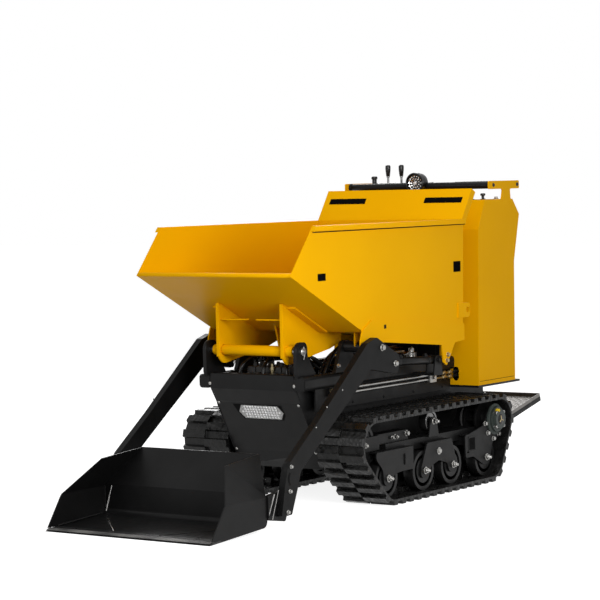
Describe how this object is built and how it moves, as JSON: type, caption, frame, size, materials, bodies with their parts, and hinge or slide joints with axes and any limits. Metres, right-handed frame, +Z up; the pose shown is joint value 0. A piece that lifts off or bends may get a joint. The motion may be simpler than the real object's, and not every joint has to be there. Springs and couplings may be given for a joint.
{
  "type": "tracked site dumper with self-loading shovel",
  "caption": "Tracked mini dumper whose hopper tips forward over its front hinge, with a self-loading shovel on lift arms, a rear engine cabinet and a fold-up operator step.",
  "frame": {"origin": "on the ground at the middle of the overall box, under the machine", "axes": "+X forward to the shovel, +Y to the machine's left, +Z up"},
  "size_m": [2.6035, 0.878, 1.355],
  "materials": {
    "yellow_paint": "gloss yellow paint",
    "black_paint": "satin black paint",
    "frame_paint": "semi-gloss black paint",
    "rubber_belt": "moulded black rubber",
    "roller_steel": "black painted steel rollers",
    "cast_hub": "grey-green painted casting",
    "lamp_lens": "clear lamp lens",
    "zinc_steel": "zinc plated steel",
    "edge_steel": "black painted wear steel",
    "chrome_rod": "hard chrome",
    "engine_metal": "plain dark metal",
    "lamp_body": "black lamp housing",
    "black_plastic": "moulded black plastic",
    "tread_plate": "raised pattern tread plate"
  },
  "bodies": {
    "root": {"chassis_channel": "frame_paint", "deck_plate": "frame_paint", "nose_plate": "frame_paint", "front_lamp": "lamp_lens", "front_beam": "frame_paint", "side_rail_left": "frame_paint", "side_rail_right": "frame_paint", "loader_pivot_left": "frame_paint", "loader_pivot_right": "frame_paint", "hopper_pin": "zinc_steel", "track_belt_left": "rubber_belt", "track_belt_right": "rubber_belt", "track_rollers_left": "roller_steel", "track_rollers_right": "roller_steel", "idler_left": "roller_steel", "idler_right": "roller_steel", "sprocket_left": "roller_steel", "sprocket_right": "roller_steel", "drive_motor_left": "cast_hub", "drive_motor_right": "cast_hub", "track_frame_left": "frame_paint", "track_frame_right": "frame_paint", "tensioner_left": "frame_paint", "tensioner_right": "frame_paint", "cabinet_side_left": "yellow_paint", "cabinet_side_right": "yellow_paint", "cabinet_front": "yellow_paint", "cabinet_top": "yellow_paint", "cabinet_rear": "yellow_paint", "cabinet_base": "frame_paint", "engine_block": "engine_metal", "hydraulic_tank": "engine_metal", "handle_bracket_left": "yellow_paint", "handle_bracket_right": "yellow_paint", "grab_bars": "black_paint", "work_lamp": "lamp_body", "control_levers": "black_plastic", "hydraulic_pipes": "zinc_steel", "step_bracket": "frame_paint"},
    "hopper": {"hopper_side_left": "yellow_paint", "hopper_side_right": "yellow_paint", "hopper_floor": "yellow_paint", "hopper_rear": "yellow_paint", "hopper_skirt_left": "yellow_paint", "hopper_skirt_right": "yellow_paint", "hopper_bracket_left": "yellow_paint", "hopper_bracket_right": "yellow_paint", "hopper_pivot_tube": "yellow_paint", "hopper_fork": "yellow_paint"},
    "loader": {"loader_arm_left": "black_paint", "loader_arm_right": "black_paint", "bucket_shell": "black_paint", "cutting_edge": "edge_steel"},
    "tip_cylinder": {"tip_barrel": "black_paint"},
    "tip_piston": {"tip_rod": "chrome_rod"},
    "lift_cylinder_left": {"lift_barrel_left": "black_paint"},
    "lift_piston_left": {"lift_rod_left": "chrome_rod"},
    "lift_cylinder_right": {"lift_barrel_right": "black_paint"},
    "lift_piston_right": {"lift_rod_right": "chrome_rod"},
    "step": {"step_plate": "tread_plate"}
  },
  "joints": [
    {"name": "hopper_tip", "type": "hinge", "parent": "root", "child": "hopper", "pos_m": [0.4685, 0, 0.63], "axis": [0, 1, 0], "range_deg": [0, 80]},
    {"name": "loader_lift", "type": "hinge", "parent": "root", "child": "loader", "pos_m": [0.1905, 0, 0.631], "axis": [0, -1, 0], "range_deg": [0, 130]},
    {"name": "step_fold", "type": "hinge", "parent": "root", "child": "step", "pos_m": [-1.012, 0, 0.232], "axis": [0, 1, 0], "range_deg": [0, 60]},
    {"name": "tip_swing", "type": "hinge", "parent": "root", "child": "tip_cylinder", "pos_m": [-0.06, 0, 0.26], "axis": [0, -1, 0], "range_deg": [-0.5, 5]},
    {"name": "tip_slide", "type": "slide", "parent": "tip_cylinder", "child": "tip_piston", "axis": [0.6496, 0, 0.7603], "range_m": [-0.002, 0.315]},
    {"name": "lift_swing_left", "type": "hinge", "parent": "root", "child": "lift_cylinder_left", "pos_m": [-0.33, 0.338, 0.541], "axis": [0, -1, 0], "range_deg": [-0.5, 5]},
    {"name": "lift_slide_left", "type": "slide", "parent": "lift_cylinder_left", "child": "lift_piston_left", "axis": [0.9989, 0, 0.047], "range_m": [-0.002, 0.22]},
    {"name": "lift_swing_right", "type": "hinge", "parent": "root", "child": "lift_cylinder_right", "pos_m": [-0.33, -0.338, 0.541], "axis": [0, -1, 0], "range_deg": [-0.5, 5]},
    {"name": "lift_slide_right", "type": "slide", "parent": "lift_cylinder_right", "child": "lift_piston_right", "axis": [0.9989, 0, 0.047], "range_m": [-0.002, 0.22]}
  ],
  "couplings": [
    {"joint": "tip_swing", "follows": "hopper_tip", "ratio": 0.03936},
    {"joint": "tip_slide", "follows": "hopper_tip", "m_per_rad": 0.21978},
    {"joint": "lift_swing_left", "follows": "loader_lift", "ratio": 0.02233},
    {"joint": "lift_slide_left", "follows": "loader_lift", "m_per_rad": 0.09355},
    {"joint": "lift_swing_right", "follows": "loader_lift", "ratio": 0.02233},
    {"joint": "lift_slide_right", "follows": "loader_lift", "m_per_rad": 0.09355}
  ]
}
